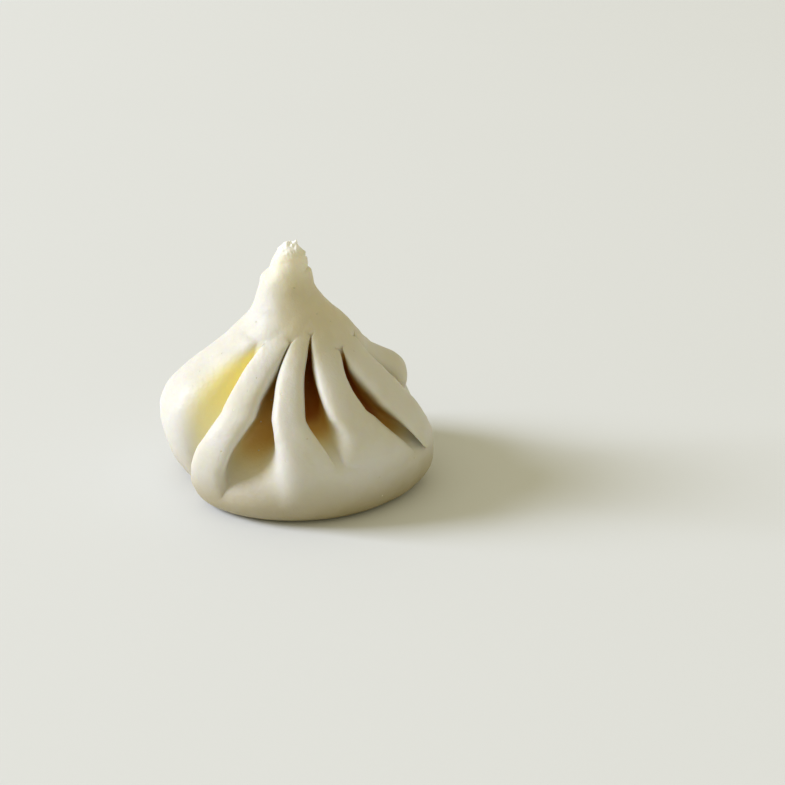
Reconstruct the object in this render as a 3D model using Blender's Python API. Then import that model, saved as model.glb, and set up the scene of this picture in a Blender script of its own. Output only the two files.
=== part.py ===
"""A soup dumpling: a round of dough gathered into thick pleats under a pinched topknot.

The dough is one closed surface. Going up, it follows a profile of named stations. Going round,
each pleat is a fat ridge, and between two pleats the dough drops into a deep fold. The section of
a pleat is a cubic curve from its crest to the bottom of the fold; long handles on that curve make
the pleat hang over the fold. Sizes are in millimetres until the end.
"""

from collections import namedtuple
from math import pi, radians

import bmesh
import bpy
import numpy as np

MM = 0.001

# Driving sizes
HEIGHT = 37.6
BODY_RADIUS = 20.6
FOOT_RADIUS = 16.0
NECK_RADIUS = 5.6
KNOT_RADIUS = 2.9
NECK_LEAN = -1.2

# The mesh: columns are shared out evenly over the pleats, rows run from the foot to the tip, and the
# first rows make the flat foot
COLUMNS = 108
ROWS = 54
FOOT_ROWS = 3

# The profile above the foot: radius, share of the height, share of the neck's lean to the side
STATIONS = [
    (FOOT_RADIUS, 0.0, 0.0),
    (0.90 * BODY_RADIUS, 0.020, 0.0),
    (0.975 * BODY_RADIUS, 0.085, 0.0),
    (1.00 * BODY_RADIUS, 0.180, 0.0),
    (0.985 * BODY_RADIUS, 0.280, 0.0),
    (0.915 * BODY_RADIUS, 0.375, 0.0),
    (0.790 * BODY_RADIUS, 0.460, 0.0),
    (0.640 * BODY_RADIUS, 0.530, 0.0),
    (0.500 * BODY_RADIUS, 0.595, 0.0),
    (0.385 * BODY_RADIUS, 0.660, 0.15),
    (1.118 * NECK_RADIUS, 0.720, 0.42),
    (0.950 * NECK_RADIUS, 0.765, 0.72),
    (0.813 * NECK_RADIUS, 0.805, 0.95),
    (0.707 * NECK_RADIUS, 0.840, 1.0),
    (0.636 * NECK_RADIUS, 0.865, 0.95),
    (1.10 * KNOT_RADIUS, 0.887, 0.85),
    (0.96 * KNOT_RADIUS, 0.914, 0.74),
    (0.80 * KNOT_RADIUS, 0.945, 0.64),
    (0.63 * KNOT_RADIUS, 0.974, 0.54),
    (0.38 * KNOT_RADIUS, 0.992, 0.46),
    (0.0, 1.0, 0.42),
]

# Heights between which a ridge or a fold spreads towards the foot, and swirls towards the neck
FOOT_Z = 4.0
WAIST_Z = 16.0
SWIRL_Z = 19.0
NECK_Z = 28.0

# The bearing is in degrees from the front at the waist, positive to the right; spread is added at the
# foot and swirl at the neck. Reach is how far the crest stands out at the foot and at the waist, as
# a share of the profile's radius. The half widths are those to the left and to the right, at the
# waist and at the foot, and flare gives the heights round which the one becomes the other.
Pleat = namedtuple("Pleat", "bearing spread swirl reach half_widths foot_widths flare")
PLEATS = [
    Pleat(-92, 4, 0, (-0.04, 0.09), (9.5, 10.5), (6.7, 8.5), (14.0, 9.0)),
    Pleat(-34, -14, 40, (0.00, 0.00), (2.6, 2.3), (3.6, 4.2), (10.0, 9.0)),
    Pleat(-7, 11, 37, (0.00, -0.03), (2.3, 3.1), (4.2, 5.4), (12.0, 13.5)),
    Pleat(23.5, 18, 15, (0.00, 0.00), (1.8, 3.8), (4.7, 8.0), (13.0, 15.8)),
    Pleat(63, 14, -10, (0.04, 0.03), (4.4, 2.9), (2.9, 3.2), (19.0, 12.0)),
    Pleat(98, 10, 0, (-0.08, 0.00), (4.2, 3.3), (4.2, 4.0), (12.0, 12.0)),
    Pleat(139, 9, 10, (0.02, 0.01), (2.8, 3.0), (3.4, 4.5), (12.0, 12.0)),
    Pleat(176, -2, 20, (0.00, 0.02), (3.2, 2.8), (6.0, 5.0), (12.0, 12.0)),
    Pleat(211, -8, 22, (0.02, 0.00), (2.7, 3.1), (3.3, 3.4), (12.0, 12.0)),
]
FLARE_OVER = 7.0
# Above the waist a pleat narrows with this power of the profile's radius
WAIST_RADIUS = 16.8
NARROWING = 0.6

# A fold lies to the right of the pleat with the same place in the list. It is open between its
# bottom and the height where its walls have met, and a crease from there to its top; one that would
# meet above its top stays open. The walls, left wall first, hang over it above the heights in crisp by
# the shares in overhang, and slope below.
Fold = namedtuple("Fold", "bearing spread swirl depth bottom met top crisp overhang")
FOLDS = [
    Fold(-47.5, -12, 26, 5.5, -1.5, 30.0, 25.9, (40, 8), (0.0, 0.4)),
    Fold(-17.5, -17, 40, 7.8, 1.5, 21.8, 25.9, (8, 13.3), (1.6, 0.3)),
    Fold(9.5, 15, 25, 7.5, 8.0, 26.8, 26.3, (11, 16), (0.6, 1.5)),
    Fold(46, 17.5, -5, 7.0, 6.3, 24.0, 24.1, (16.5, 7), (0.4, 2.2)),
    Fold(76.5, 15, 2, 5.5, 7.0, 22.0, 24.5, (14, 14), (0.3, 0.3)),
    Fold(120, 9, 6, 6.5, 3.5, 24.0, 26.0, (10, 16), (0.3, 0.3)),
    Fold(158, 4, 16, 7.0, 4.0, 25.0, 26.5, (15, 9), (0.3, 0.8)),
    Fold(193, -5, 22, 6.0, 3.0, 23.0, 26.0, (9, 15), (0.8, 0.3)),
    Fold(231, -8, 20, 6.5, 4.5, 24.5, 26.5, (12, 40), (0.3, 0.0)),
]

# A fold sinks inwards and down. Where its walls meet they stand at SLIT_WALL of the way to its
# bottom. GENTLE_OVERHANG turns an overhang into a gentle slope. The last values are the heights over
# which the walls close and turn crisp, and the depth from which a fold has walls at all.
INWARD_DROP = radians(20)
SLIT_WALL = 0.94
SLIT_OVERHANG = 0.2
GENTLE_OVERHANG = -0.8
FOLD_SHUT_OVER = 4.0
CRISP_OVER = 6.0
FOLD_SHOWS_AT = 0.6

# Dents and lumps left by the hand that closed it: bearing, height, how far out, width and height
# of the soft bump
Lump = namedtuple("Lump", "bearing z out width tall")
LUMPS = [
    Lump(-95, 32.4, 0.25, 2.2, 0.8),
    Lump(85, 33.6, -0.25, 1.6, 0.5),
    Lump(60, 35.6, 0.20, 1.2, 0.6),
    Lump(150, 31.5, 0.30, 2.4, 1.2),
    Lump(105, 25.3, 0.60, 5.0, 1.8),
    Lump(95, 20.9, -0.90, 4.0, 1.3),
    Lump(102, 17.8, 0.80, 4.5, 2.0),
    Lump(97, 12.5, -3.20, 4.2, 3.0),
    Lump(-85, 22.5, 0.40, 5.0, 2.6),
    Lump(97, 33.0, 0.40, 1.5, 0.7),
    Lump(-71, 1.5, -1.70, 6.0, 3.5),
]

# The torn end of the topknot: bearing and distance from its middle, rise, width
Peak = namedtuple("Peak", "bearing away rise width")
PEAKS = [
    Peak(80, 0.80, 0.40, 0.45),
    Peak(-75, 0.85, 0.20, 0.60),
    Peak(20, 1.00, -0.25, 0.45),
    Peak(170, 0.70, 0.25, 0.50),
    Peak(230, 1.10, -0.20, 0.45),
]


def smoothstep(x):
    """0 below 0, 1 above 1, and a smooth rise between."""
    x = np.clip(x, 0.0, 1.0)
    return x * x * (3.0 - 2.0 * x)


def catmull_rom(points, at):
    """The smooth curve through points[1:-1], at values of at from 0 to 1."""
    points = np.asarray(points, float)
    place = np.clip(at, 0.0, 1.0) * (len(points) - 3)
    i = np.minimum(place.astype(int), len(points) - 4)
    t = (place - i)[..., None]
    a, b, c, d = (points[i + k] for k in range(4))
    return 0.5 * (2 * b + (c - a) * t + (2 * a - 5 * b + 4 * c - d) * t**2 + (3 * b - a - 3 * c + d) * t**3)


def bearing_at(line, z):
    """Bearing of a ridge or a fold at a height: its own at the waist, spread below, swirled above."""
    low = np.clip((WAIST_Z - z) / (WAIST_Z - FOOT_Z), 0.0, 1.0)
    high = np.clip((z - SWIRL_Z) / (NECK_Z - SWIRL_Z), 0.0, 1.0)
    return line.bearing + line.spread * low * (1.4 - 0.4 * low) + line.swirl * high**2.5


def crest_radius_at(pleat, radius, z):
    """Radius of a ridge's crest: the profile's, with the pleat's own reach at the foot and the waist."""
    low = smoothstep((WAIST_Z - z) / (WAIST_Z - FOOT_Z))
    at_foot, at_waist = pleat.reach
    fade = smoothstep((NECK_Z + 2 - z) / 8)
    return radius * (1 + (at_foot * low + at_waist * (1 - low)) * fade)


def profile(v):
    """Radius, height and lean of the profile: v runs from 0 at the foot's centre to 1 at the tip."""
    foot_share = FOOT_ROWS / ROWS
    wall = [(radius, share * HEIGHT, lean * NECK_LEAN) for radius, share, lean in STATIONS]
    before = (2 * wall[0][0] - wall[1][0], 0.0, 0.0)
    after = (-wall[-2][0], wall[-2][1], wall[-2][2])
    radius, z, lean = catmull_rom([before, *wall, after], (v - foot_share) / (1 - foot_share)).T
    on_foot = v < foot_share
    radius = np.where(on_foot, FOOT_RADIUS * v / foot_share, radius)
    return np.maximum(radius, 0.0), np.where(on_foot, 0.0, z), lean


def fold_depth(fold, z):
    """How deep a fold lies under the crests at a height: it deepens slowly and closes sharply."""
    share = (z - fold.bottom) / (fold.top - fold.bottom)
    return fold.depth * smoothstep(share / 0.60) * (1 - smoothstep((share - 0.68) / 0.32))


def lumps_out(bearing, radius, z):
    """How far the lumps push the dough out: each is a soft bump round its own place."""
    out = np.zeros_like(z)
    for lump in LUMPS:
        across = (bearing - radians(lump.bearing) + pi) % (2 * pi) - pi
        out += lump.out * np.exp(-((across * radius / lump.width) ** 2) - ((z - lump.z) / lump.tall) ** 2)
    return out * np.where(z > 0, 1.0, radius / FOOT_RADIUS)


def peaks_up(x, y, z):
    """How far the torn end rises: soft peaks and pits on the top of the knot."""
    up = np.zeros_like(z)
    for peak in PEAKS:
        away_x = x - peak.away * np.sin(radians(peak.bearing))
        away_y = y + peak.away * np.cos(radians(peak.bearing))
        up += peak.rise * np.exp(-(away_x**2 + away_y**2) / peak.width**2)
    return up * smoothstep((z - 0.94 * HEIGHT) / (0.04 * HEIGHT))


def half_width_at(pleat, side, radius, z):
    """Half width of a pleat's side: it flares towards the foot and narrows with the neck."""
    at_waist = np.array([p.half_widths for p in PLEATS])[pleat, side]
    at_foot = np.array([p.foot_widths for p in PLEATS])[pleat, side]
    flare = np.array([p.flare for p in PLEATS])[pleat, side]
    narrow = np.minimum(radius / WAIST_RADIUS, 1.0) ** NARROWING
    return (at_waist + (at_foot - at_waist) * smoothstep((flare - z) / FLARE_OVER + 0.5)) * narrow


def section_handles(fold, pleat, side, z, half_width, span_width, deep):
    """The two handles of a pleat's section: where its wall stands and how far it hangs over."""
    shut = smoothstep((z - np.array([f.met for f in FOLDS])[fold]) / FOLD_SHUT_OVER + 1)
    wall = np.clip(half_width / np.maximum(span_width, 0.1), 0.3, 0.92)
    wall = wall + (SLIT_WALL - wall) * shut

    crisp_from = np.array([f.crisp for f in FOLDS])[fold, 1 - side]
    crisp = smoothstep((z - crisp_from) / CRISP_OVER + 0.5)
    overhang = np.array([f.overhang for f in FOLDS])[fold, 1 - side]
    overhang = GENTLE_OVERHANG + (overhang - GENTLE_OVERHANG) * crisp
    overhang = overhang + (SLIT_OVERHANG - overhang) * shut

    folded = smoothstep(deep / FOLD_SHOWS_AT)
    lead = 1 + overhang / 2 + (wall - 0.5) / 0.75
    trail = 1 + overhang / 2 - (wall - 0.5) / 0.75
    return 1 / 3 + (lead - 1 / 3) * folded, 1 / 3 + (trail - 1 / 3) * folded


def surface(u, v):
    """The dough's points, for u once round from 0 to 1 and v from the foot's centre to the tip."""
    count = len(PLEATS)
    radius, z, lean = profile(v)
    crest = np.array([bearing_at(p, z) for p in PLEATS])
    reach = np.array([crest_radius_at(p, radius, z) for p in PLEATS])
    bottom = np.array([bearing_at(f, z) for f in FOLDS])
    depth = np.array([fold_depth(f, z) for f in FOLDS])

    # Each pleat has the same share of u: its crest in the middle and a fold at either end
    pleat = np.minimum((u * count).astype(int), count - 1)
    along = 2 * (u * count - pleat) - 1
    t = np.abs(along)
    side = np.where(along > 0, 1, 0)
    fold = np.where(side == 1, pleat, (pleat - 1) % count)
    row = np.arange(len(v))

    crest_at = crest[pleat, row]
    turn = np.where((side == 0) & (pleat == 0), -360.0, 0.0)
    span = np.radians(bottom[fold, row] + turn - crest_at)
    crest_radius = reach[pleat, row]
    fold_radius = (reach[fold, row] + reach[(fold + 1) % count, row]) / 2
    deep = depth[fold, row]

    half_width = half_width_at(pleat, side, radius, z)
    lead, trail = section_handles(fold, pleat, side, z, half_width, crest_radius * np.abs(span), deep)
    sideways = 3 * (1 - t) ** 2 * t * lead + 3 * (1 - t) * t**2 * (1 - trail) + t**3
    inward = smoothstep(t)
    bearing = np.radians(crest_at) + span * sideways
    r = crest_radius + (fold_radius - crest_radius - deep * np.cos(INWARD_DROP)) * inward
    r = r + lumps_out(bearing, r, z)
    x, y = r * np.sin(bearing), -r * np.cos(bearing)
    drop = deep * np.sin(INWARD_DROP) * inward * smoothstep(z / 8)
    return np.stack([x + lean, y, z - drop + peaks_up(x, y, z)], axis=-1)


def make_dough():
    mesh = bpy.data.meshes.new("dough")
    cage = bmesh.new()
    bmesh.ops.create_uvsphere(cage, u_segments=COLUMNS, v_segments=ROWS, radius=1.0)
    ball = np.array([vertex.co for vertex in cage.verts])
    u = np.round((np.arctan2(ball[:, 1], ball[:, 0]) / (2 * pi)) % 1.0 * COLUMNS) / COLUMNS % 1.0
    v = np.round(np.arccos(np.clip(-ball[:, 2], -1, 1)) / pi * ROWS) / ROWS
    for vertex, point in zip(cage.verts, surface(u, v) * MM):
        vertex.co = point
    cage.to_mesh(mesh)
    cage.free()
    mesh.shade_smooth()
    return mesh


def dough_material():
    material = bpy.data.materials.new("dough")
    material.use_nodes = True
    shader = material.node_tree.nodes["Principled BSDF"]
    shader.inputs["Base Color"].default_value = (0.80, 0.75, 0.60, 1.0)
    shader.inputs["Roughness"].default_value = 0.55
    shader.inputs["Metallic"].default_value = 0.0
    return material


def main():
    for obj in list(bpy.data.objects):
        bpy.data.objects.remove(obj)
    collection = bpy.data.collections.new("soup_dumpling")
    bpy.context.scene.collection.children.link(collection)
    dumpling = bpy.data.objects.new("dumpling", make_dough())
    dumpling.data.materials.append(dough_material())
    collection.objects.link(dumpling)


main()
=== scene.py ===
# %% [markdown]
# # A soup dumpling
#
# A soup dumpling is a thin round of dough, gathered by hand round a little filling. The rim is pinched
# into pleats one after another, with a small turn each time. Then the pleats are twisted together into
# a neck, and the end is torn off. What we see is one sheet of soft, damp dough: a plump belly, fat
# pleats with deep folds between them, a smooth neck, and a small rough topknot.
#
# This lesson builds it as one surface worked out with numpy, gives it a dough material, and lights it
# like the photograph: a soft light from the left on a plain pale floor.

from collections import namedtuple
from math import asin, cos, degrees, pi, radians, sin

import bpy
import numpy as np
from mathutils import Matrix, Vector


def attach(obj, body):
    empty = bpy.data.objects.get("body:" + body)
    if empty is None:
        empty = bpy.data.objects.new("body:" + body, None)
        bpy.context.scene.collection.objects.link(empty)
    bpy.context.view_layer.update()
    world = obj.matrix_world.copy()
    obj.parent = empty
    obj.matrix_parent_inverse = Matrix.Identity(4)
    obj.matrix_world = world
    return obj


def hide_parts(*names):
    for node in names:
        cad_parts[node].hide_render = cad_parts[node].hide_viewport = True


MM = 0.001
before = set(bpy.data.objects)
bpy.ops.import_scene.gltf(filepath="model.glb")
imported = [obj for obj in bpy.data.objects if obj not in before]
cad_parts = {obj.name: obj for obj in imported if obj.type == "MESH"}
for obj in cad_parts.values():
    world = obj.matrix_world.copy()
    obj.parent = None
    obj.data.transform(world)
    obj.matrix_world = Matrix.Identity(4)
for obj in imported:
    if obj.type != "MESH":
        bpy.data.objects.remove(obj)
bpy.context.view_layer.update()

# %% [markdown]
# ## The driving sizes
#
# The dumpling is about 42 mm wide and 38 mm tall. Its outline, seen with the pleats filled in, is a
# turned profile: a flat foot, a belly, a long concave shoulder and a neck. A table of stations gives
# that profile, as radius against height. The neck leans a little to the left, so each station also says
# how much of that lean it takes. The stations are the same as the solid's, so the fine surface lies on
# the solid that it replaces.

# %% The driving sizes
HEIGHT = 37.6
BODY_RADIUS = 20.6
FOOT_RADIUS = 16.0
NECK_RADIUS = 5.6
KNOT_RADIUS = 2.9
NECK_LEAN = -1.2

# Radius, share of the height, share of the neck's lean
STATIONS = [
    (FOOT_RADIUS, 0.0, 0.0),
    (0.90 * BODY_RADIUS, 0.020, 0.0),
    (0.975 * BODY_RADIUS, 0.085, 0.0),
    (1.00 * BODY_RADIUS, 0.180, 0.0),
    (0.985 * BODY_RADIUS, 0.280, 0.0),
    (0.915 * BODY_RADIUS, 0.375, 0.0),
    (0.790 * BODY_RADIUS, 0.460, 0.0),
    (0.640 * BODY_RADIUS, 0.530, 0.0),
    (0.500 * BODY_RADIUS, 0.595, 0.0),
    (0.385 * BODY_RADIUS, 0.660, 0.15),
    (1.118 * NECK_RADIUS, 0.720, 0.42),
    (0.950 * NECK_RADIUS, 0.765, 0.72),
    (0.813 * NECK_RADIUS, 0.805, 0.95),
    (0.707 * NECK_RADIUS, 0.840, 1.0),
    (0.636 * NECK_RADIUS, 0.865, 0.95),
    (1.10 * KNOT_RADIUS, 0.887, 0.85),
    (0.96 * KNOT_RADIUS, 0.914, 0.74),
    (0.80 * KNOT_RADIUS, 0.945, 0.64),
    (0.63 * KNOT_RADIUS, 0.974, 0.54),
    (0.38 * KNOT_RADIUS, 0.992, 0.46),
    (0.0, 1.0, 0.42),
]
print("profile stations", len(STATIONS))

# %% [markdown]
# ## Smooth curves from a few numbers
#
# Two small helpers do most of the shaping. `smoothstep` fades one thing into another without a corner.
# A Catmull-Rom curve runs through all of its points, which suits a profile measured at stations.

# %% Smooth curves
def smoothstep(x):
    """0 below 0, 1 above 1, and 3x^2 - 2x^3 between."""
    x = np.clip(x, 0.0, 1.0)
    return x * x * (3.0 - 2.0 * x)


def catmull_rom(points, at):
    """The curve through points[1:-1]: on each piece a cubic whose slope at a point is half of the way
    from the point before it to the point after it. at runs from 0 to 1 over all the pieces."""
    points = np.asarray(points, float)
    place = np.clip(at, 0.0, 1.0) * (len(points) - 3)
    i = np.minimum(place.astype(int), len(points) - 4)
    t = (place - i)[..., None]
    a, b, c, d = (points[i + k] for k in range(4))
    return 0.5 * (
        2 * b + (c - a) * t + (2 * a - 5 * b + 4 * c - d) * t**2 + (3 * b - a - 3 * c + d) * t**3
    )


# The flat foot's share of v
FOOT_SHARE = 3 / 54


def profile(v):
    """Radius, height and lean at v, from 0 at the foot's centre to 1 at the tip. The first share is
    the flat foot, where the radius grows evenly; then the curve climbs the stations."""
    wall = [(radius, share * HEIGHT, lean * NECK_LEAN) for radius, share, lean in STATIONS]
    before = (2 * wall[0][0] - wall[1][0], 0.0, 0.0)
    after = (-wall[-2][0], wall[-2][1], wall[-2][2])
    radius, z, lean = catmull_rom([before, *wall, after], (v - FOOT_SHARE) / (1 - FOOT_SHARE)).T
    on_foot = v < FOOT_SHARE
    radius = np.where(on_foot, FOOT_RADIUS * v / FOOT_SHARE, radius)
    return np.maximum(radius, 0.0), np.where(on_foot, 0.0, z), lean


half_way, half_height, _ = profile(np.array([0.55]))
print("radius", round(float(half_way[0]), 1), "mm at height", round(float(half_height[0]), 1), "mm")

# %% [markdown]
# ## Pleats and folds
#
# Each pleat is a rounded rope of doubled dough that runs from the belly up to the neck. Pleats are not
# straight: they spread towards the foot and swirl round the neck, because the dough is twisted as it is
# closed. So a pleat has a bearing at its waist, a spread below it and a swirl above it.
#
# Between two pleats lies a fold. A fold opens at the belly, deepens towards the middle, and its walls
# meet under the neck in a crease. Some pleats lie over onto the fold beside them, so each wall has its
# own overhang. A plain sine wave round the body could not do that: it can't reach back under itself.

# %% Pleats and folds
# Heights in mm
FOOT_Z = 4.0
WAIST_Z = 16.0
SWIRL_Z = 19.0
NECK_Z = 28.0

# Bearings in degrees from the front, positive to the right. Reach is how far the crest stands out at
# the foot and the waist, as a share of the radius. Half widths in mm are to the left and the right, at
# the waist and at the foot, and flare gives the heights round which the one becomes the other.
Pleat = namedtuple("Pleat", "bearing spread swirl reach half_widths foot_widths flare")
PLEATS = [
    Pleat(-92, 4, 0, (-0.04, 0.09), (9.5, 10.5), (6.7, 8.5), (14.0, 9.0)),
    Pleat(-34, -14, 40, (0.00, 0.00), (2.6, 2.3), (3.6, 4.2), (10.0, 9.0)),
    Pleat(-7, 11, 37, (0.00, -0.03), (2.3, 3.1), (4.2, 5.4), (12.0, 13.5)),
    Pleat(23.5, 18, 15, (0.00, 0.00), (1.8, 3.8), (4.7, 8.0), (13.0, 15.8)),
    Pleat(63, 14, -10, (0.04, 0.03), (4.4, 2.9), (2.9, 3.2), (19.0, 12.0)),
    Pleat(98, 10, 0, (-0.08, 0.00), (4.2, 3.3), (4.2, 4.0), (12.0, 12.0)),
    Pleat(139, 9, 10, (0.02, 0.01), (2.8, 3.0), (3.4, 4.5), (12.0, 12.0)),
    Pleat(176, -2, 20, (0.00, 0.02), (3.2, 2.8), (6.0, 5.0), (12.0, 12.0)),
    Pleat(211, -8, 22, (0.02, 0.00), (2.7, 3.1), (3.3, 3.4), (12.0, 12.0)),
]

# Each fold lies to the right of the pleat with the same place: its depth, the heights of its bottom, of
# where its walls meet and of its top, then for the left and the right wall the height above which it
# is crisp, and its overhang. A fold that would meet above its top stays open.
Fold = namedtuple("Fold", "bearing spread swirl depth bottom met top crisp overhang")
FOLDS = [
    Fold(-47.5, -12, 26, 5.5, -1.5, 30.0, 25.9, (40, 8), (0.0, 0.4)),
    Fold(-17.5, -17, 40, 7.8, 1.5, 21.8, 25.9, (8, 13.3), (1.6, 0.3)),
    Fold(9.5, 15, 25, 7.5, 8.0, 26.8, 26.3, (11, 16), (0.6, 1.5)),
    Fold(46, 17.5, -5, 7.0, 6.3, 24.0, 24.1, (16.5, 7), (0.4, 2.2)),
    Fold(76.5, 15, 2, 5.5, 7.0, 22.0, 24.5, (14, 14), (0.3, 0.3)),
    Fold(120, 9, 6, 6.5, 3.5, 24.0, 26.0, (10, 16), (0.3, 0.3)),
    Fold(158, 4, 16, 7.0, 4.0, 25.0, 26.5, (15, 9), (0.3, 0.8)),
    Fold(193, -5, 22, 6.0, 3.0, 23.0, 26.0, (9, 15), (0.8, 0.3)),
    Fold(231, -8, 20, 6.5, 4.5, 24.5, 26.5, (12, 40), (0.3, 0.0)),
]
print("pleats", len(PLEATS), "folds", len(FOLDS))

# %% [markdown]
# ## Where a pleat and a fold run
#
# A pleat or a fold is a line up the body. Three small functions say where that line is at any height,
# how far out the pleat's crest stands there, and how deep the fold is. Every change along the way is a
# fade, so no pleat starts or ends with a jump.

# %% Where a pleat and a fold run
SWIRL_POWER = 2.5
REACH_END_Z = NECK_Z + 2
REACH_FADE = 8

# Shares of the way up a fold
FOLD_RISE = 0.60
CLOSE_FROM = 0.68
CLOSE_OVER = 0.32


def bearing_at(line, z):
    """A line's bearing at height z: its own, plus spread x l(1.4 - 0.4l) below the waist, where l runs
    from 0 at the waist to 1 at the foot, plus swirl x h^2.5 above, where h runs from 0 at the start of
    the swirl to 1 at the neck."""
    low = np.clip((WAIST_Z - z) / (WAIST_Z - FOOT_Z), 0.0, 1.0)
    high = np.clip((z - SWIRL_Z) / (NECK_Z - SWIRL_Z), 0.0, 1.0)
    return line.bearing + line.spread * low * (1.4 - 0.4 * low) + line.swirl * high**SWIRL_POWER


def crest_radius_at(pleat, radius, z):
    """The crest's radius: the profile's, times 1 plus the pleat's reach. The reach is blended from foot
    to waist, and it fades out over the 8 mm below 30 mm."""
    low = smoothstep((WAIST_Z - z) / (WAIST_Z - FOOT_Z))
    at_foot, at_waist = pleat.reach
    fade = smoothstep((REACH_END_Z - z) / REACH_FADE)
    return radius * (1 + (at_foot * low + at_waist * (1 - low)) * fade)


def fold_depth(fold, z):
    """The depth of a fold at height z: a slow smooth rise over its lower 0.6, and a smooth close over
    the last 0.32."""
    share = (z - fold.bottom) / (fold.top - fold.bottom)
    return fold.depth * smoothstep(share / FOLD_RISE) * (1 - smoothstep((share - CLOSE_FROM) / CLOSE_OVER))


print("pleat 1 turns from", bearing_at(PLEATS[1], WAIST_Z), "to", bearing_at(PLEATS[1], NECK_Z), "degrees")

# %% [markdown]
# ## The section of a pleat
#
# Cut a pleat across and you see a hoop: a round crest, a side wall, and the bottom of the fold. From
# crest to fold bottom the section is one cubic Bezier in (sideways, inward). Its two middle points
# slide sideways only. Long handles steepen the wall, and when together they are longer than 2 the curve
# doubles back, so the pleat hangs over the fold. Where the fold is shallow both handles relax to 1/3,
# which is a plain even arc.

# %% The section of a pleat
FLARE_OVER = 7.0
WAIST_RADIUS = 16.8
NARROWING = 0.6

EVEN_HANDLE = 1 / 3
WALL_RANGE = (0.3, 0.92)
SLIT_WALL = 0.94
SLIT_OVERHANG = 0.2
GENTLE_OVERHANG = -0.8
FOLD_SHUT_OVER = 4.0
CRISP_OVER = 6.0
FOLD_SHOWS_AT = 0.6


def half_width_at(pleat, side, radius, z):
    """The half width in mm: waist + (foot - waist) x a smooth step round the flare height, times
    (radius / waist radius)^0.6 above the waist."""
    at_waist = np.array([p.half_widths for p in PLEATS])[pleat, side]
    at_foot = np.array([p.foot_widths for p in PLEATS])[pleat, side]
    flare = np.array([p.flare for p in PLEATS])[pleat, side]
    narrow = np.minimum(radius / WAIST_RADIUS, 1.0) ** NARROWING
    return (at_waist + (at_foot - at_waist) * smoothstep((flare - z) / FLARE_OVER + 0.5)) * narrow


def section_handles(fold, pleat, side, z, half_width, span_width, deep):
    """The handles lead and trail = 1 + overhang/2 +- (wall - 0.5)/0.75, which put the curve's middle at
    wall. wall is the pleat's half width as a share of the way to the fold's bottom; near the top both
    slide to the slit's own values."""
    shut = smoothstep((z - np.array([f.met for f in FOLDS])[fold]) / FOLD_SHUT_OVER + 1)
    wall = np.clip(half_width / np.maximum(span_width, 0.1), *WALL_RANGE)
    wall = wall + (SLIT_WALL - wall) * shut

    crisp_from = np.array([f.crisp for f in FOLDS])[fold, 1 - side]
    crisp = smoothstep((z - crisp_from) / CRISP_OVER + 0.5)
    overhang = np.array([f.overhang for f in FOLDS])[fold, 1 - side]
    overhang = GENTLE_OVERHANG + (overhang - GENTLE_OVERHANG) * crisp
    overhang = overhang + (SLIT_OVERHANG - overhang) * shut

    folded = smoothstep(deep / FOLD_SHOWS_AT)
    lead = 1 + overhang / 2 + (wall - 0.5) / 0.75
    trail = 1 + overhang / 2 - (wall - 0.5) / 0.75
    return EVEN_HANDLE + (lead - EVEN_HANDLE) * folded, EVEN_HANDLE + (trail - EVEN_HANDLE) * folded


print("pleat 1 at the foot", PLEATS[1].foot_widths, "mm to the left and right")

# %% [markdown]
# ## The hand's marks
#
# A hand leaves lumps and dents where it pinched, and the end of the topknot is torn, not cut: it stands
# up in small points with pits between them. Lumps push the surface out along its radius, and the torn
# points push it up. Each is a Gaussian bump, which is smooth and dies away on its own. The solid has the
# larger ones. The fine ones are only here: one thin spike beside a white crest, small teeth down the
# right of the torn end, and a burr on the edge of a pleat.

# %% The hand's marks
# Bearing in degrees, then height, how far out, width and tallness in mm
Lump = namedtuple("Lump", "bearing z out width tall")
LUMPS = [
    Lump(-95, 32.4, 0.25, 2.2, 0.8),
    Lump(85, 33.6, -0.25, 1.6, 0.5),
    Lump(60, 35.6, 0.20, 1.2, 0.6),
    Lump(150, 31.5, 0.30, 2.4, 1.2),
    Lump(105, 25.3, 0.60, 5.0, 1.8),
    Lump(95, 20.9, -0.90, 4.0, 1.3),
    Lump(102, 17.8, 0.80, 4.5, 2.0),
    Lump(97, 12.5, -3.20, 4.2, 3.0),
    Lump(-85, 22.5, 0.40, 5.0, 2.6),
    Lump(97, 33.0, 0.40, 1.5, 0.7),
    Lump(-71, 1.5, -1.70, 6.0, 3.5),
]
FINE_LUMPS = [
    Lump(95, 37.0, -0.30, 1.0, 0.40),
    Lump(93, 36.1, 0.20, 0.8, 0.24),
    Lump(99, 35.55, -0.12, 0.8, 0.16),
    Lump(95, 35.1, 0.16, 0.8, 0.22),
    Lump(92, 34.6, 0.10, 0.9, 0.20),
    Lump(88, 33.75, -0.24, 1.3, 0.20),
    Lump(90, 33.35, 0.20, 1.4, 0.22),
    Lump(92, 32.0, 0.15, 1.5, 0.50),
    Lump(-82, 36.9, 0.22, 0.9, 0.22),
    Lump(-86, 36.4, -0.12, 0.9, 0.22),
    Lump(-88, 33.7, -0.32, 1.8, 0.70),
    Lump(20, 36.0, 0.12, 0.5, 0.25),
    Lump(-20, 35.2, -0.10, 0.7, 0.35),
    Lump(55, 34.8, 0.10, 0.6, 0.30),
    Lump(-12.5, 12.9, 0.40, 0.40, 0.45),
    Lump(-11.0, 13.8, 0.26, 0.35, 0.35),
]

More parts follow.
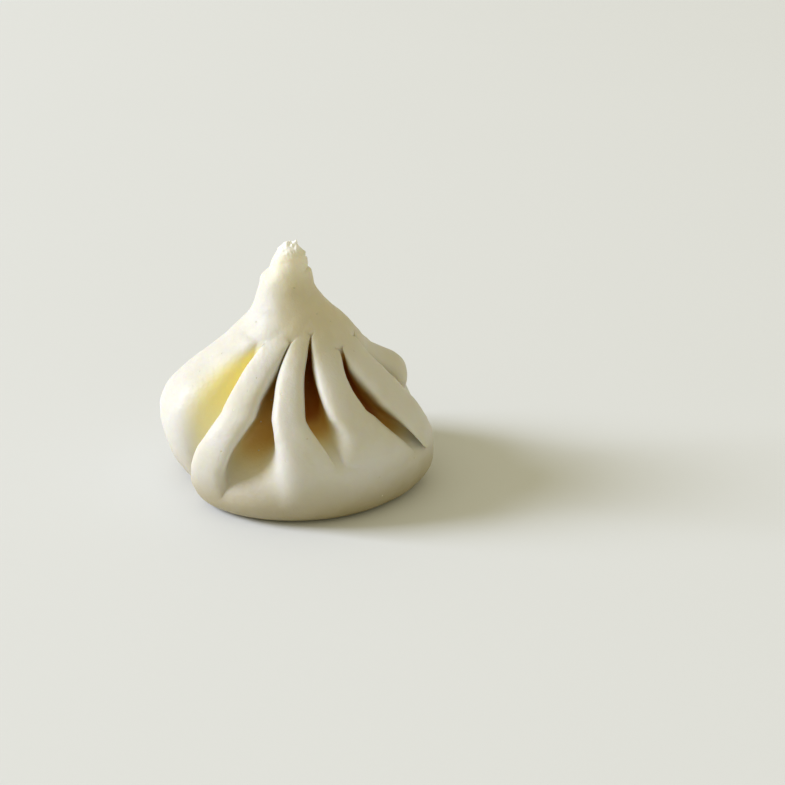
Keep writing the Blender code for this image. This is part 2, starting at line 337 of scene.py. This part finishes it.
# Bearing in degrees, then distance from the knot's axis, rise and width in mm
Peak = namedtuple("Peak", "bearing away rise width")
PEAKS = [
    Peak(80, 0.80, 0.40, 0.45),
    Peak(-75, 0.85, 0.20, 0.60),
    Peak(20, 1.00, -0.25, 0.45),
    Peak(170, 0.70, 0.25, 0.50),
    Peak(230, 1.10, -0.20, 0.45),
]
FINE_PEAKS = [
    Peak(88, 0.85, 0.55, 0.19),
    Peak(60, 0.80, -0.15, 0.22),
    Peak(-90, 0.35, 0.26, 0.30),
    Peak(-85, 0.95, 0.14, 0.25),
    Peak(30, 0.12, -0.20, 0.24),
    Peak(20, 0.60, 0.14, 0.20),
    Peak(-25, 0.75, -0.14, 0.24),
    Peak(-50, 0.70, 0.14, 0.22),
    Peak(120, 0.80, 0.16, 0.25),
    Peak(160, 0.45, -0.16, 0.25),
    Peak(200, 0.90, 0.16, 0.25),
    Peak(250, 0.75, -0.14, 0.22),
]

# Shares of the height
TORN_FROM = 0.94
TORN_OVER = 0.04


def lumps_out(lumps, bearing, radius, z):
    """The sum over the lumps of out x exp(-(arc/width)^2 - (dz/tall)^2), with arc measured round. On
    the flat foot it fades evenly to nothing at the centre."""
    out = np.zeros_like(z)
    for lump in lumps:
        across = (bearing - radians(lump.bearing) + pi) % (2 * pi) - pi
        out += lump.out * np.exp(-((across * radius / lump.width) ** 2) - ((z - lump.z) / lump.tall) ** 2)
    return out * np.where(z > 0, 1.0, radius / FOOT_RADIUS)


def peaks_up(peaks, x, y, z):
    """The sum over the torn points of rise x exp(-(distance/width)^2), on the last part of the knot."""
    up = np.zeros_like(z)
    for peak in peaks:
        away_x = x - peak.away * np.sin(radians(peak.bearing))
        away_y = y + peak.away * np.cos(radians(peak.bearing))
        up += peak.rise * np.exp(-(away_x**2 + away_y**2) / peak.width**2)
    return up * smoothstep((z - TORN_FROM * HEIGHT) / (TORN_OVER * HEIGHT))


print("lumps", len(LUMPS), "and", len(FINE_LUMPS), "fine ones")
print("torn points", len(PEAKS), "and", len(FINE_PEAKS), "fine ones")

# %% [markdown]
# ## Painted shade in the folds, and a painted glow
#
# Little light reaches deep into a fold, so its shade is painted into the colour: darker and browner
# with depth, and darkest in the narrow slits under the neck. The fold on the light's side does something
# else: its sheet is thin, so light comes through it, and that glow is painted in yellow, most of all near
# its top. Both follow the depth in the fold, so they are worked out here, point by point, and the
# material gets them as two numbers.

# %% Painted shade in the folds, and a painted glow
# Painted shade and painted glow, one value for each fold
SHADE_PER_FOLD = [0.22, 0.84, 1.22, 1.30, 0.8, 0.9, 0.9, 0.9, 0.9]
# Painted glow: how much yellow light each fold shows through its thin sheet
GLOW = [1.0, 0.0, 0.0, 0.0, 0.0, 0.0, 0.0, 0.0, 0.0]

# The painted fold shade is full at a depth of 8 mm, with more in the narrow slits above 17 mm; the painted
# glow fades in from 8 mm up over 14 mm
FULL_SHADE_DEPTH = 8
SLIT_SHADE = 0.4
SLIT_Z = 17
SLIT_OVER = 4
GLOW_Z = 8
GLOW_OVER = 14


def painted_shade_and_glow(fold, deep, inward, z):
    """Both from 0 to 1, where depth = the fold's own here x how far inward the point lies. Painted shade =
    the fold's own x (depth/8 mm + 0.4 in the narrow slits above 17 mm). Painted glow = the fold's own
    x smoothstep((depth - 1.2 + high)/(4 - 2.6 high)) x (0.4 + 0.6 high), where high rises smoothly from
    0 at 8 mm to 1 at 22 mm."""
    in_wall = smoothstep((inward - 0.25) / 0.4)
    slit = in_wall * smoothstep(deep / 2) * smoothstep((z - SLIT_Z) / SLIT_OVER)
    fold_shade = np.clip(np.array(SHADE_PER_FOLD)[fold] * (deep * inward / FULL_SHADE_DEPTH + SLIT_SHADE * slit), 0, 1)
    high = smoothstep((z - GLOW_Z) / GLOW_OVER)
    glow = smoothstep((deep * inward - 1.2 + high) / (4 - 2.6 * high)) * (0.4 + 0.6 * high)
    return fold_shade, np.array(GLOW)[fold] * glow


print("most_shaded fold", SHADE_PER_FOLD.index(max(SHADE_PER_FOLD)), "glowing fold", GLOW.index(max(GLOW)))

# %% [markdown]
# ## The whole surface
#
# Now the pieces go together. Round the body, every pleat takes the same share of u, so the grid's
# columns crowd where a pleat is narrow. The function returns the points, and beside them how deep each
# point lies in a fold, how much painted shade it gets there, and how much painted glow.

# %% The whole surface
INWARD_DROP = radians(20)
DROP_FULL_Z = 8


def dough_surface(u, v):
    """Points in mm, each point's depth in its fold, and its painted fold shade and painted glow. In each
    pleat t runs from 0 at the crest to 1 at the fold's bottom; bearing = crest + span x B(t), where B is
    the Bezier of the section. The radius goes by smoothstep(t) from the crest's to the mean of the two
    crests beside the fold less depth x cos 20, and the height drops by depth x sin 20 with it. Lumps and
    torn points are added. The front is -Y."""
    count = len(PLEATS)
    radius, z, lean = profile(v)
    crest = np.array([bearing_at(p, z) for p in PLEATS])
    reach = np.array([crest_radius_at(p, radius, z) for p in PLEATS])
    bottom = np.array([bearing_at(f, z) for f in FOLDS])
    depth = np.array([fold_depth(f, z) for f in FOLDS])

    pleat = np.minimum((u * count).astype(int), count - 1)
    along = 2 * (u * count - pleat) - 1
    t = np.abs(along)
    side = np.where(along > 0, 1, 0)
    fold = np.where(side == 1, pleat, (pleat - 1) % count)
    row = np.arange(len(v))

    crest_at = crest[pleat, row]
    turn = np.where((side == 0) & (pleat == 0), -360.0, 0.0)
    span = np.radians(bottom[fold, row] + turn - crest_at)
    crest_radius = reach[pleat, row]
    fold_radius = (reach[fold, row] + reach[(fold + 1) % count, row]) / 2
    deep = depth[fold, row]

    half_width = half_width_at(pleat, side, radius, z)
    lead, trail = section_handles(fold, pleat, side, z, half_width, crest_radius * np.abs(span), deep)
    sideways = 3 * (1 - t) ** 2 * t * lead + 3 * (1 - t) * t**2 * (1 - trail) + t**3
    inward = smoothstep(t)
    bearing = np.radians(crest_at) + span * sideways
    r = crest_radius + (fold_radius - crest_radius - deep * np.cos(INWARD_DROP)) * inward
    r = r + lumps_out(LUMPS + FINE_LUMPS, bearing, r, z)
    x, y = r * np.sin(bearing), -r * np.cos(bearing)
    drop = deep * np.sin(INWARD_DROP) * inward * smoothstep(z / DROP_FULL_Z)
    points = np.stack([x + lean, y, z - drop + peaks_up(PEAKS + FINE_PEAKS, x, y, z)], axis=-1)
    return points, deep * inward, *painted_shade_and_glow(fold, deep, inward, z)


crest_line = dough_surface(np.full(3, 0.5 / len(PLEATS)), np.array([0.2, 0.4, 0.6]))[0]
print("three points up the first crest, in mm", crest_line.round(1).tolist())

# %% [markdown]
# ## From the grid to a mesh
#
# A grid of points closes into a ball-like mesh: the columns wrap round, and the first and last rows,
# which are one point each, become the poles. Quads fill the rows between, and triangles fan to the
# poles. Each gap between two stations gets the same number of rows, so the small topknot is as finely
# divided as the belly.

# %% From the grid to a mesh
COLUMNS = 50 * len(PLEATS)
ROWS = 214


def closed_grid(name, columns, rows):
    """A closed mesh over u and v. Vertex 0 is the foot's pole, the last is the tip, and between them
    vertex 1 + (row - 1) x columns + column."""
    u, v = np.meshgrid(np.arange(columns) / columns, np.arange(1, rows) / rows)
    u = np.concatenate([[0.0], u.ravel(), [0.0]])
    v = np.concatenate([[0.0], v.ravel(), [1.0]])
    points, deep, fold_shade, glow = dough_surface(u, v)

    i = np.arange(columns)
    nxt = (i + 1) % columns
    below = 1 + columns * np.arange(rows - 2)[:, None]
    above = below + columns
    quads = np.stack([below + i, below + nxt, above + nxt, above + i], axis=-1).reshape(-1, 4)
    last = 1 + columns * (rows - 2)
    tip = last + columns
    foot_fan = np.stack([np.zeros_like(i), 1 + nxt, 1 + i], axis=-1)
    tip_fan = np.stack([np.full_like(i, tip), last + i, last + nxt], axis=-1)

    mesh = bpy.data.meshes.new(name)
    mesh.from_pydata(points * MM, [], foot_fan.tolist() + quads.tolist() + tip_fan.tolist())
    mesh.shade_smooth()
    mesh.update()
    # The painted fold shade and the painted glow go to the material as two point attributes
    for label, values in (("painted_fold_shade", fold_shade), ("glow_fold", glow)):
        mesh.attributes.new(label, "FLOAT", "POINT").data.foreach_set("value", values.astype(np.float32))
    return mesh, points, deep


dough_mesh, points_mm, fold_mm = closed_grid("dough_skin", COLUMNS, ROWS)
dumpling = bpy.data.objects.new("dough_skin", dough_mesh)
bpy.context.scene.collection.objects.link(dumpling)
print("triangles", sum(len(face.vertices) - 2 for face in dough_mesh.polygons))
print("deepest fold", round(fold_mm.max(), 1), "mm")

# %% [markdown]
# ## Softly uneven, and torn at the end
#
# No handmade dough is even. Many plane waves of different lengths, added up with seeded directions and
# phases, make a soft uneven field. It moves the skin in and out along its normals, mostly by less than
# a tenth of a millimetre, and by two tenths at most. Inside the folds and on the flat foot it fades
# out. At the torn end another field takes its place, with short waves, and makes the end ragged.

# %% Softly uneven, and torn at the end
# Size, shortest and longest wave in mm, then how many waves, and the seed
Waves = namedtuple("Waves", "size shortest longest count seed")
LONG_WAVES = Waves(0.055, 5.0, 11.0, 24, 3)
MIDDLE_WAVES = Waves(0.02, 1.8, 3.5, 24, 5)
TORN_WAVES = Waves(0.04, 0.45, 1.1, 30, 8)

# Depths and heights in mm where the fields fade
OPEN_DEPTH = 2.5
FOOT_FADE = 3.0
RAGGED_Z = 35.6
RAGGED_OVER = 1.6


def wave_field(points, waves):
    """size x the sum over the waves of sin(2 pi d.p / length + phase), divided by sqrt(count / 2), so
    that size is the field's typical height. The directions d are even over the sphere."""
    random = np.random.default_rng(waves.seed)
    direction = random.normal(size=(waves.count, 3))
    direction /= np.linalg.norm(direction, axis=1, keepdims=True)
    length = random.uniform(waves.shortest, waves.longest, waves.count)
    phase = random.uniform(0, 2 * pi, waves.count)
    total = np.sin(2 * pi * points @ (direction / length[:, None]).T + phase).sum(axis=1)
    return waves.size * (total / np.sqrt(waves.count / 2))


def soften_evenness(mesh, points, deep):
    """Moves each vertex along its normal by the long waves + the middle waves, times how open the dough
    lies, fading to the short waves at the torn end."""
    normals = np.zeros(points.size, np.float32)
    mesh.vertices.foreach_get("normal", normals)
    z = points[:, 2]
    open_skin = (1 - smoothstep(deep / OPEN_DEPTH)) * smoothstep(z / FOOT_FADE)
    torn = smoothstep((z - RAGGED_Z) / RAGGED_OVER)
    out = wave_field(points, LONG_WAVES) + wave_field(points, MIDDLE_WAVES)
    out = out * open_skin * (1 - torn) + wave_field(points, TORN_WAVES) * torn
    moved = points + normals.reshape(-1, 3) * out[:, None]
    mesh.vertices.foreach_set("co", (moved * MM).ravel().astype(np.float32))
    mesh.update()
    return out


moved_mm = soften_evenness(dough_mesh, points_mm, fold_mm)
print("skin moved by", round(moved_mm.min(), 2), "to", round(moved_mm.max(), 2), "mm")
print("typically by", round(float(moved_mm.std()), 3), "mm")

# %% [markdown]
# ## Helpers for shader nodes
#
# A material is a small network. These helpers add a node, set its sockets by name and link it, so that
# a material below reads as a list of steps. Colours are given as they look on a screen, from 0 to 255,
# and turned into the linear values that a shader wants.

# %% Helpers for shader nodes
def screen_colour(red, green, blue):
    """Linear RGBA of a screen colour: x/12.92 up to 0.04045, else ((x + 0.055)/1.055)^2.4."""
    x = np.array([red, green, blue]) / 255.0
    linear = np.where(x <= 0.04045, x / 12.92, ((x + 0.055) / 1.055) ** 2.4)
    return (*linear.tolist(), 1.0)


def add_node(tree, kind, **settings):
    """Adds a node and sets its properties."""
    node = tree.nodes.new(kind)
    for name, value in settings.items():
        setattr(node, name, value)
    return node


def plug(tree, socket, value):
    """Links an output to the socket, or sets a value on it."""
    if isinstance(value, bpy.types.NodeSocket):
        tree.links.new(value, socket)
    else:
        socket.default_value = value


def feed(tree, node, **sockets):
    """Plugs each named input; underscores stand for spaces."""
    for name, value in sockets.items():
        plug(tree, node.inputs[name.replace("_", " ")], value)


def mix_colours(tree, factor, first, second, blend="MIX"):
    """The mix of two colours by a factor, as an output socket."""
    node = add_node(tree, "ShaderNodeMix", data_type="RGBA", blend_type=blend)
    for place, value in ((0, factor), (6, first), (7, second)):
        plug(tree, node.inputs[place], value)
    return node.outputs[2]


def times(tree, first, second):
    """The product of two outputs."""
    node = add_node(tree, "ShaderNodeMath", operation="MULTIPLY")
    plug(tree, node.inputs[0], first)
    plug(tree, node.inputs[1], second)
    return node.outputs[0]


def remap(tree, value, low, high, to_low=0.0, to_high=1.0):
    """A smooth map of value from low..high to to_low..to_high."""
    node = add_node(tree, "ShaderNodeMapRange", interpolation_type="SMOOTHSTEP")
    feed(tree, node, Value=value, From_Min=low, From_Max=high, To_Min=to_low, To_Max=to_high)
    return node.outputs["Result"]


print("screen grey 128 is", round(screen_colour(128, 128, 128)[0], 3), "in linear light")

# %% [markdown]
# ## Grain and patches, as a node group
#
# Flour dough isn't even: some patches are a little more translucent than others, and close up the skin
# has a fine grain. The pale floor has the same kind of unevenness, only weaker. So the effect is a node
# group with its own sockets, built once and placed in both materials with its own sizes. It reads
# Object coordinates, which are metres here, so a size is the distance from one blotch to the next.

# %% Grain and patches
def make_grain_group():
    """Patches = noise at one blotch per patch size. Grain = finer noise at one per grain size."""
    group = bpy.data.node_groups.new("grain_and_patches", "ShaderNodeTree")
    for name, value in (("Patch Size", 0.006), ("Grain Size", 0.0005)):
        socket = group.interface.new_socket(name, in_out="INPUT", socket_type="NodeSocketFloat")
        socket.default_value = value
    for name in ("Patches", "Grain"):
        group.interface.new_socket(name, in_out="OUTPUT", socket_type="NodeSocketFloat")
    start = add_node(group, "NodeGroupInput")
    end = add_node(group, "NodeGroupOutput")
    place = add_node(group, "ShaderNodeTexCoord").outputs["Object"]
    for size, out, detail in (("Patch Size", "Patches", 3.0), ("Grain Size", "Grain", 4.0)):
        scale = add_node(group, "ShaderNodeMath", operation="DIVIDE")
        plug(group, scale.inputs[0], 1.0)
        plug(group, scale.inputs[1], start.outputs[size])
        noise = add_node(group, "ShaderNodeTexNoise")
        feed(group, noise, Vector=place, Scale=scale.outputs[0], Detail=detail, Roughness=0.55)
        plug(group, end.inputs[out], noise.outputs["Fac"])
    return group


grain_group = make_grain_group()
print("group", grain_group.name, [item.name for item in grain_group.interface.items_tree])

# %% [markdown]
# ## Painted shade and glow in the folds
#
# Deep in a fold little light reaches, and what there is has bounced between two warm walls and comes
# out deep amber. That shade is painted: a colour ramp, driven by the painted fold shade that the surface
# function gave, goes from tan to amber, and takes over from the skin's own colour as that value grows.
# The painted glow of the one lit fold brings in the yellow.

# %% Painted shade and glow in the folds
# Painted shade in the folds, from shallow to deep, and the painted yellow glow of the lit fold
OLIVE_TAN = screen_colour(213, 199, 146)
AMBER = screen_colour(199, 156, 76)
DEEP_AMBER = screen_colour(166, 98, 20)
GLOW_YELLOW = screen_colour(240, 230, 160)
RAMP_TAKES_OVER = (0.10, 0.65)


def fold_colours(tree, skin):
    """Painted fold shade: olive tan up to 0.40, amber at 0.80 and deep amber at 1; then the painted glow's
    yellow.
    """
    fold_shade = add_node(tree, "ShaderNodeAttribute", attribute_name="painted_fold_shade").outputs["Fac"]
    ramp = add_node(tree, "ShaderNodeValToRGB")
    ramp.color_ramp.interpolation = "EASE"
    ramp.color_ramp.elements[0].position = 0.40
    ramp.color_ramp.elements[0].color = OLIVE_TAN
    ramp.color_ramp.elements[1].position = 1.0
    ramp.color_ramp.elements[1].color = DEEP_AMBER
    ramp.color_ramp.elements.new(0.80).color = AMBER
    plug(tree, ramp.inputs["Fac"], fold_shade)
    skin = mix_colours(tree, remap(tree, fold_shade, *RAMP_TAKES_OVER), skin, ramp.outputs["Color"])
    # The painted glow of the lit fold, in yellow
    glow = add_node(tree, "ShaderNodeAttribute", attribute_name="glow_fold").outputs["Fac"]
    return mix_colours(tree, glow, skin, GLOW_YELLOW)


print("deep amber in linear light", [round(part, 3) for part in DEEP_AMBER])

# %% [markdown]
# ## Colour by height
#
# The foot is painted a little browner and darker, as painted shade low down. The neck is painted warmer
# and darker on its shaded side, as painted shade, and the knot above it is paler. Fades by height, and one
# across, are enough for these zones, because each of them is a band round the dumpling, or a part of one.

# %% Colour by height
# Painted shade: the foot browner and darker low down
FOOT_PAINTED_SHADE = screen_colour(200, 187, 150)
# Painted shade: the neck warmer and darker on its side away from the light
NECK_PAINTED_SHADE = screen_colour(252, 244, 220)
KNOT_CREAM = screen_colour(234, 231, 212)

# From where to where each fade runs, in metres
FOOT_PAINTED_SHADE_Z = (0.0, 0.010)
NECK_PAINTED_SHADE_Z = (0.020, 0.028)
SHADED_SIDE_X = (-0.0045, -0.0005)
PALE_KNOT_Z = (0.0305, 0.0355)


def zone_colours(tree, skin, x, z):
    """The skin, times the foot's painted shade low down, times the neck's painted shade on its shaded
    side, and mixed with the pale knot's colour above."""
    # Painted shade, darker and browner towards the foot
    near_foot = remap(tree, z, *FOOT_PAINTED_SHADE_Z, 1.0, 0.0)
    skin = mix_colours(tree, near_foot, skin, FOOT_PAINTED_SHADE, "MULTIPLY")
    # Painted shade on the neck's side away from the light
    warm = times(tree, remap(tree, z, *NECK_PAINTED_SHADE_Z), remap(tree, x, *SHADED_SIDE_X))
    skin = mix_colours(tree, warm, skin, NECK_PAINTED_SHADE, "MULTIPLY")
    return mix_colours(tree, remap(tree, z, *PALE_KNOT_Z), skin, KNOT_CREAM)


print("zones end at", [round(high / MM, 1) for _, high in (FOOT_PAINTED_SHADE_Z, NECK_PAINTED_SHADE_Z, PALE_KNOT_Z)], "mm")

# %% [markdown]
# ## Specks and pin pricks
#
# Small specks of dry flour and small pin pricks are scattered over the skin. A Voronoi texture is the
# simple way to scatter: it splits space into cells, each with one point and one random colour. The
# colour draws lots for the cell, and the distance to its point makes the dot.

# %% Specks and pin pricks
FLOUR = screen_colour(226, 223, 213)
PRICK_GREY = screen_colour(197, 192, 172)
CELLS_PER_METRE = 560.0
CHOSEN = (0.66, 0.69)
DOT_EDGE = (0.05, 0.10)
FLOUR_OR_PRICK = (0.45, 0.55)


def specks(tree, place):
    """How much speck a point is, and the speck's colour. A third of the cells hold a dot, which fades
    out from 0.05 to 0.10 of a cell. The cell's second lot makes it flour or a prick."""
    cells = add_node(tree, "ShaderNodeTexVoronoi", feature="F1")
    feed(tree, cells, Vector=place, Scale=CELLS_PER_METRE)
    lot = add_node(tree, "ShaderNodeSeparateColor")
    feed(tree, lot, Color=cells.outputs["Color"])
    dot = remap(tree, cells.outputs["Distance"], *DOT_EDGE, 1.0, 0.0)
    speck = times(tree, remap(tree, lot.outputs["Red"], *CHOSEN), dot)
    which = remap(tree, lot.outputs["Green"], *FLOUR_OR_PRICK)
    return speck, mix_colours(tree, which, FLOUR, PRICK_GREY)


print("a dot is about", round(2 * DOT_EDGE[1] / CELLS_PER_METRE / MM, 2), "mm wide")

# %% [markdown]
# ## The dough
#
# Steamed dough is cream-white and lets light a little way in, so shaded sides stay warm and edges glow.
# The material starts with pale patches, and then puts the painted shade and glow of the folds, the
# painted shade at the foot and on the neck's shaded side, the pale knot, the specks, and a whiter, drier
# torn end over each other. The order matters: what lies on the skin comes last. A fine grain and the
# pricks are bumps, because they are too small for the mesh.

# %% The dough
CREAM = screen_colour(215, 214, 208)
CREAM_PATCH = screen_colour(211, 209, 197)
TORN_WHITE = screen_colour(252, 252, 250)
TORN_END_Z = (0.0362, 0.0374)
FIRM_END_Z = (0.0355, 0.0368)
BUMP_DEPTH = 0.0002
SCATTER_COLOUR = (1.0, 0.70, 0.26)
SCATTER_REACH = 0.0022


def make_dough():
    """The dough's material. Base colour: patches, folds, zones, specks, and last the torn end. Roughness
    goes with the patches from 0.44 to 0.56. The subsurface weight falls from 0.55 to 0.10 near the torn
    end, so that its thin points don't blur away."""
    material = bpy.data.materials.new("dough")
    material.use_nodes = True
    tree = material.node_tree
    grain = add_node(tree, "ShaderNodeGroup", node_tree=grain_group)
    feed(tree, grain, Patch_Size=0.007, Grain_Size=0.0008)
    patches = grain.outputs["Patches"]
    place = add_node(tree, "ShaderNodeTexCoord").outputs["Object"]
    parts = add_node(tree, "ShaderNodeSeparateXYZ")
    feed(tree, parts, Vector=place)
    x, z = parts.outputs["X"], parts.outputs["Z"]

    skin = mix_colours(tree, remap(tree, patches, 0.40, 0.68), CREAM, CREAM_PATCH)
    # Painted shade and painted glow in the folds
    skin = fold_colours(tree, skin)
    # Painted shade at the foot and on the neck's shaded side, and the paler knot
    skin = zone_colours(tree, skin, x, z)
    speck, speck_colour = specks(tree, place)
    skin = mix_colours(tree, speck, skin, speck_colour)
    skin = mix_colours(tree, remap(tree, z, *TORN_END_Z), skin, TORN_WHITE)

    bump = add_node(tree, "ShaderNodeBump")
    feed(tree, bump, Strength=0.45, Distance=BUMP_DEPTH, Height=grain.outputs["Grain"])
    pricks = add_node(tree, "ShaderNodeBump", invert=True)
    feed(tree, pricks, Strength=0.5, Distance=BUMP_DEPTH, Height=speck, Normal=bump.outputs[0])

    shader = tree.nodes["Principled BSDF"]
    feed(tree, shader, Base_Color=skin, Normal=pricks.outputs[0], IOR=1.42)
    feed(tree, shader, Roughness=remap(tree, patches, 0.30, 0.70, 0.44, 0.56))
    feed(tree, shader, Subsurface_Weight=remap(tree, z, *FIRM_END_Z, 0.55, 0.10))
    feed(tree, shader, Subsurface_Radius=SCATTER_COLOUR, Subsurface_Scale=SCATTER_REACH)
    return material


dough_mesh.materials.append(make_dough())
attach(dumpling, "root")
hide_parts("dumpling")
print("dough nodes", len(dough_mesh.materials[0].node_tree.nodes))

# %% [markdown]
# ## The floor
#
# The stage is a plain pale floor, wide enough that its edge is never seen from above. It has the same
# patches as the dough, only much larger and fainter, and hardly any shine.

# %% The floor
FLOOR_HALF = 1.5
FLOOR_TONE = screen_colour(223, 227, 231)
FLOOR_PATCH = screen_colour(226, 230, 235)

floor_mesh = bpy.data.meshes.new("floor")
corners = [(x * FLOOR_HALF, y * FLOOR_HALF, 0) for x, y in ((-1, -1), (1, -1), (1, 1), (-1, 1))]
floor_mesh.from_pydata(corners, [], [(0, 1, 2, 3)])
floor = bpy.data.objects.new("floor", floor_mesh)
bpy.context.scene.collection.objects.link(floor)

floor_paint = bpy.data.materials.new("pale_floor")
floor_paint.use_nodes = True
tree = floor_paint.node_tree
grain = add_node(tree, "ShaderNodeGroup", node_tree=grain_group)
feed(tree, grain, Patch_Size=0.20, Grain_Size=0.002)
tone = mix_colours(tree, grain.outputs["Patches"], FLOOR_TONE, FLOOR_PATCH)
rough = remap(tree, grain.outputs["Grain"], 0.3, 0.7, 0.7, 0.8)
feed(tree, tree.nodes["Principled BSDF"], Base_Color=tone, Roughness=rough, Specular_IOR_Level=0.15)
floor_mesh.materials.append(floor_paint)
print("floor", 2 * FLOOR_HALF, "m wide")

# %% [markdown]
# ## The light
#
# A large soft light stands far off on the left and a little behind, about 28 degrees up, as a window
# would, so the floor is lit evenly and the shadows have soft edges. A warm, even sky fills the shade.

# %% The light
WINDOW_PLACE = Vector((-2.85, 0.30, 1.56))
WINDOW_WIDTH = 1.35
WINDOW_POWER = 108.0
WINDOW_TINT = (0.97, 1.0, 1.14)
SKY_TINT = (1.0, 0.91, 0.60, 1.0)
SKY_STRENGTH = 0.56
DUMPLING_MIDDLE = Vector((0, 0, 0.015))

lamp = bpy.data.lights.new("window", "AREA")
lamp.size = WINDOW_WIDTH
lamp.energy = WINDOW_POWER
lamp.color = WINDOW_TINT
window = bpy.data.objects.new("window", lamp)
bpy.context.scene.collection.objects.link(window)
window.location = WINDOW_PLACE
window.rotation_euler = (DUMPLING_MIDDLE - WINDOW_PLACE).to_track_quat("-Z", "Y").to_euler()

sky = bpy.data.worlds.new("studio")
sky.use_nodes = True
feed(sky.node_tree, sky.node_tree.nodes["Background"], Color=SKY_TINT, Strength=SKY_STRENGTH)
bpy.context.scene.world = sky
bpy.context.scene.view_settings.view_transform = "Standard"
climb = (WINDOW_PLACE - DUMPLING_MIDDLE).normalized().z
print("window light", round(degrees(asin(climb))), "degrees up")

# %% [markdown]
# ## The camera
#
# The camera looks down at 25 degrees from the front, and it is turned so that the dumpling stands left
# of the middle, as in the photograph. How many pixels go to a millimetre gives its lens.

# %% The camera
IMAGE = 785
PIXELS_PER_MM = 6.4
FOOT_PIXEL = (297.0, 470.0)
ELEVATION = radians(25.0)
DISTANCE = 0.32
SENSOR_MM = 36.0

across = Vector((1, 0, 0))
upward = Vector((0, sin(ELEVATION), cos(ELEVATION)))
backward = Vector((0, -cos(ELEVATION), sin(ELEVATION)))
aim = across * (IMAGE / 2 - FOOT_PIXEL[0]) / PIXELS_PER_MM * MM
aim = aim + upward * (FOOT_PIXEL[1] - IMAGE / 2) / PIXELS_PER_MM * MM
lens = bpy.data.cameras.new("camera")
lens.sensor_width = SENSOR_MM
lens.lens = SENSOR_MM * DISTANCE / (IMAGE / PIXELS_PER_MM * MM)
lens.clip_start = 0.01
camera = bpy.data.objects.new("camera", lens)
bpy.context.scene.collection.objects.link(camera)
camera.location = backward * DISTANCE
camera.rotation_euler = (aim - camera.location).to_track_quat("-Z", "Y").to_euler()
bpy.context.scene.camera = camera
print("lens", round(lens.lens, 1), "mm at", DISTANCE, "m")
